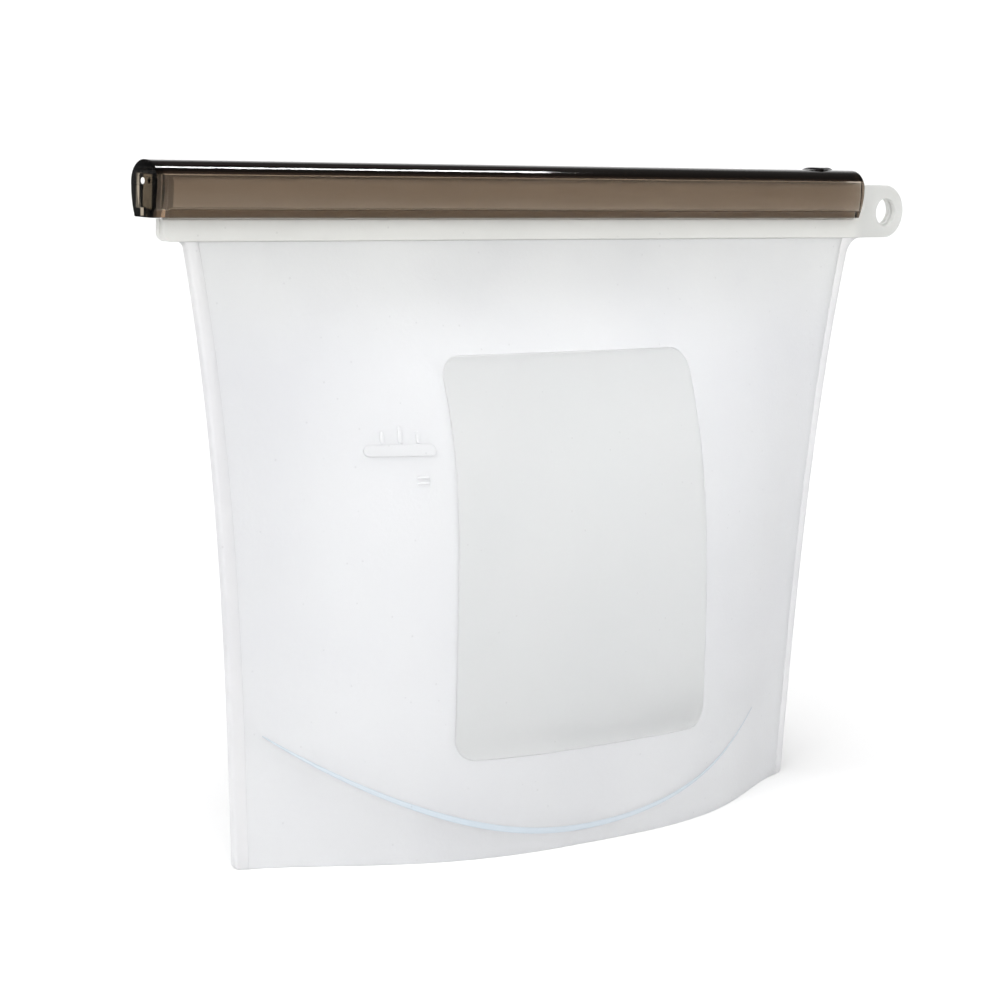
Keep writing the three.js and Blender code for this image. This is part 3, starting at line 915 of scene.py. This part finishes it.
def grip_shape():
    """Two curved arms that meet in a point towards the front, standing on the dome."""
    half, back = GRIP_HALF_LENGTH, GRIP_BACK_Y
    point = back - GRIP_REACH
    outline = bezier((-half, back), (-half / 2, back - GRIP_ARM), (0, point))
    outline += bezier((0, point), (half / 2, back - GRIP_ARM), (half, back))
    outline += bezier((half, back), (half / 2, back + GRIP_ARM / 2), (0, point + GRIP_ARM))
    outline += bezier((0, point + GRIP_ARM), (-half / 2, back + GRIP_ARM / 2), (-half, back))

    def place(x, y, w):
        dome = RAIL_TOP_Z - RAIL_SHOULDER_Z
        surface = RAIL_SHOULDER_Z + dome * math.sqrt(1 - (y / RAIL_HALF_WIDTH) ** 2)
        rise = GRIP_HEIGHT * max(GRIP_TIP, 1 - (abs(x) / half) ** 4)
        return GRIP_X + x, y, surface + BOND + w * rise

    return plate("grip_chevron", outline, [], place, GRIP_RIM, GRIP_HEIGHT, 0)


finished("grip_chevron", grip_shape(), "rail", ["rail_grip"], smoke)

# ------------------------------------------------------------------ floor, light and camera
AIM_SHARE = (0.4283, 0.5, 0.4982)  # where the camera aims, as shares of the CAD box
AIM = Vector([low + share * (high - low)
              for low, high, share in zip(CAD_LOW, CAD_HIGH, AIM_SHARE)])
VIEW_AZIMUTH = math.radians(-39.25)
VIEW_ELEVATION = math.radians(8.27)
VIEW_ROLL = math.radians(1.9)
VIEW_DISTANCE = 0.72095
LENS, SENSOR = 97.2, 36  # in millimetres, as Blender has them
FLOOR_REACH = 9
FLOOR_DROP = 0.1 * MM
FLOOR_COLOUR = (0.95, 0.95, 0.95)
SKY_STRENGTH = 1.5
SKY_BRIGHT_TO, SKY_DIM_FROM = 0.38, 0.62  # heights, as Z of the direction
SKY_TOP = 0.12
SKY_SIDE = (0.8, -0.6, 0)  # the sky is a little darker towards this side
SKY_SIDE_FROM, SKY_SIDE_TO = 0.35, 0.95
SKY_SIDE_SHADE = 0.8
KEY_FROM = (-0.6, -0.4, 1.0)
KEY_ENERGY = 2.65
KEY_ANGLE = math.radians(60)
STRIP_PLACE = (0.42, 0.0, 0.9)
STRIP_LENGTH, STRIP_WIDTH = 0.36, 0.11
STRIP_ENERGY = 6.8


camera_data = bpy.data.cameras.new("camera")
camera_data.lens, camera_data.sensor_width = LENS, SENSOR
camera_data.clip_start, camera_data.clip_end = 0.01, 100
camera = placed("camera", camera_data)
towards = Vector((math.sin(VIEW_AZIMUTH) * math.cos(VIEW_ELEVATION),
                  -math.cos(VIEW_AZIMUTH) * math.cos(VIEW_ELEVATION), math.sin(VIEW_ELEVATION)))
look = (-towards).to_track_quat("-Z", "Y").to_matrix().to_4x4()
camera.matrix_world = (Matrix.Translation(AIM + VIEW_DISTANCE * towards) @ look
                       @ Matrix.Rotation(VIEW_ROLL, 4, "Z"))
bpy.context.scene.camera = camera

corners = [(x * FLOOR_REACH, y * FLOOR_REACH, 0) for x, y in ((-1, -1), (1, -1), (1, 1), (-1, 1))]
floor = placed("floor", mesh_of("floor", corners, [(0, 1, 2, 3)]))
floor.location.z = -FLOOR_DROP
floor_material, _, floor_shader = node_material("pale_floor")
floor_shader.inputs["Base Color"].default_value = (*FLOOR_COLOUR, 1)
floor_shader.inputs["Roughness"].default_value = 0.9
floor_shader.inputs["Specular IOR Level"].default_value = 0.0
floor.data.materials.append(floor_material)
floor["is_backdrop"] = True

world = bpy.data.worlds.new("studio")
bpy.context.scene.world = world
world.use_nodes = True
sky = world.node_tree
direction = add_node(sky, "TexCoord").outputs["Generated"]
parts = add_node(sky, "SeparateXYZ")
sky.links.new(direction, parts.inputs["Vector"])
glow = ramp(sky, parts.outputs["Z"], (SKY_BRIGHT_TO, grey(1)), (SKY_DIM_FROM, grey(SKY_TOP)))
to_side = add_node(sky, "VectorMath", operation="DOT_PRODUCT")
sky.links.new(direction, to_side.inputs[0])
to_side.inputs[1].default_value = SKY_SIDE
fade = ramp(sky, to_side.outputs["Value"],
            (SKY_SIDE_FROM, grey(1)), (SKY_SIDE_TO, grey(SKY_SIDE_SHADE)))
sky.links.new(mixed(sky, 1, glow, fade, "MULTIPLY"), sky.nodes["Background"].inputs["Color"])
sky.nodes["Background"].inputs["Strength"].default_value = SKY_STRENGTH

key_data = bpy.data.lights.new("key", "SUN")
key_data.energy, key_data.angle = KEY_ENERGY, KEY_ANGLE
key = placed("key", key_data)
key.location = KEY_FROM
key.rotation_mode = "QUATERNION"
key.rotation_quaternion = (-Vector(KEY_FROM)).to_track_quat("-Z", "Y")

# The strip faces down and gives the long highlight on the rail's dome; it is off for diffuse light
strip_data = bpy.data.lights.new("strip", "AREA")
strip_data.shape, strip_data.size, strip_data.size_y = "RECTANGLE", STRIP_LENGTH, STRIP_WIDTH
strip_data.energy = STRIP_ENERGY
strip = placed("strip", strip_data)
strip.location = STRIP_PLACE
strip.visible_diffuse = False

bpy.context.scene.view_settings.view_transform = "Standard"
